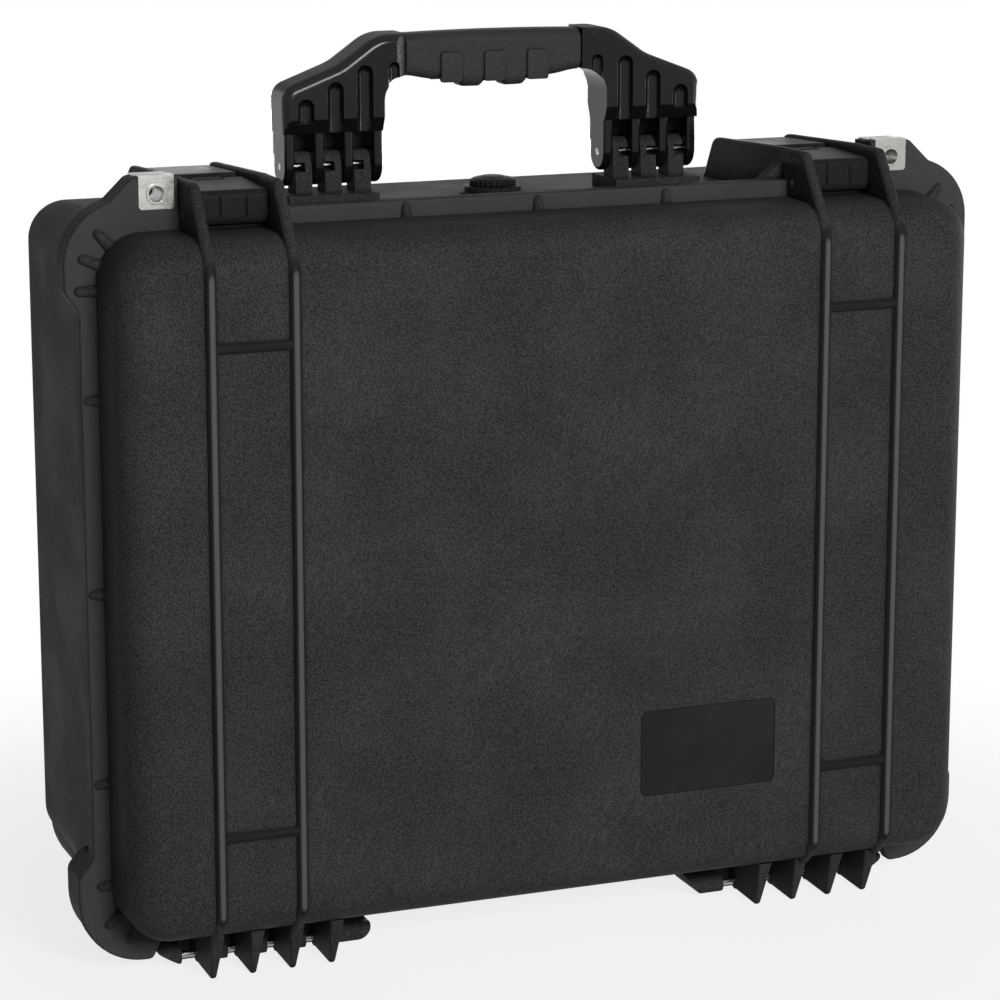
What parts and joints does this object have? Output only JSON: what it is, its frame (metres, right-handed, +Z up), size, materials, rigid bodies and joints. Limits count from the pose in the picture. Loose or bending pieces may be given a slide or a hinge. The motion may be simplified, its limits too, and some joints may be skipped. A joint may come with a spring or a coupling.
{
  "type": "flight case",
  "caption": "Hard moulded protective case: ribbed lid and deep base on pin hinges, with lever latches, folding carry handle, padlock plates, seal and pressure valve.",
  "frame": {"origin": "under the middle of the case's box, on the floor that it stands on", "axes": "+X along the case's length, -Y out of the lid's front, +Z up through the handle"},
  "size_m": [0.527, 0.213, 0.496],
  "materials": {
    "shell_plastic": "moulded grain, black",
    "latch_plastic": "satin, black",
    "handle_plastic": "polished, black",
    "grip_rubber": "matte, black",
    "seal_rubber": "matte, dark grey",
    "label_film": "satin, black, bare",
    "valve_plastic": "satin, black",
    "plate_steel": "brushed, bright",
    "pin_steel": "polished, bright"
  },
  "bodies": {
    "base": {"base_shell": "shell_plastic", "valve_body": "valve_plastic", "valve_cap": "valve_plastic", "valve_seal": "seal_rubber", "valve_nut": "valve_plastic", "left_hinge_pin": "pin_steel", "left_handle_pin": "pin_steel", "left_base_padlock_plate": "plate_steel", "right_hinge_pin": "pin_steel", "right_handle_pin": "pin_steel", "right_base_padlock_plate": "plate_steel"},
    "lid": {"lid_shell": "shell_plastic", "lid_seal": "seal_rubber", "label_plate": "label_film", "left_latch_link_pin": "pin_steel", "left_lid_padlock_plate": "plate_steel", "right_latch_link_pin": "pin_steel", "right_lid_padlock_plate": "plate_steel"},
    "handle": {"handle_frame": "handle_plastic", "handle_grip": "grip_rubber"},
    "left_link": {"left_latch_link": "latch_plastic", "left_latch_lever_pin": "pin_steel"},
    "left_lever": {"left_latch_lever": "latch_plastic"},
    "right_link": {"right_latch_link": "latch_plastic", "right_latch_lever_pin": "pin_steel"},
    "right_lever": {"right_latch_lever": "latch_plastic"}
  },
  "joints": [
    {"name": "lid_hinge", "type": "hinge", "parent": "base", "child": "lid", "pos_m": [0, -0.0535, 0.006], "axis": [1, 0, 0], "range_deg": [0, 105]},
    {"name": "handle_fold", "type": "hinge", "parent": "base", "child": "handle", "pos_m": [0, 0.013, 0.425], "axis": [-1, 0, 0], "range_deg": [0, 90]},
    {"name": "left_latch_swing", "type": "hinge", "parent": "lid", "child": "left_link", "pos_m": [-0.1748, -0.0665, 0.4125], "axis": [1, 0, 0], "range_deg": [0, 85]},
    {"name": "left_latch_throw", "type": "hinge", "parent": "left_link", "child": "left_lever", "pos_m": [-0.1748, -0.0275, 0.421], "axis": [1, 0, 0], "range_deg": [0, 80]},
    {"name": "right_latch_swing", "type": "hinge", "parent": "lid", "child": "right_link", "pos_m": [0.1748, -0.0665, 0.4125], "axis": [1, 0, 0], "range_deg": [0, 85]},
    {"name": "right_latch_throw", "type": "hinge", "parent": "right_link", "child": "right_lever", "pos_m": [0.1748, -0.0275, 0.421], "axis": [1, 0, 0], "range_deg": [0, 80]}
  ]
}
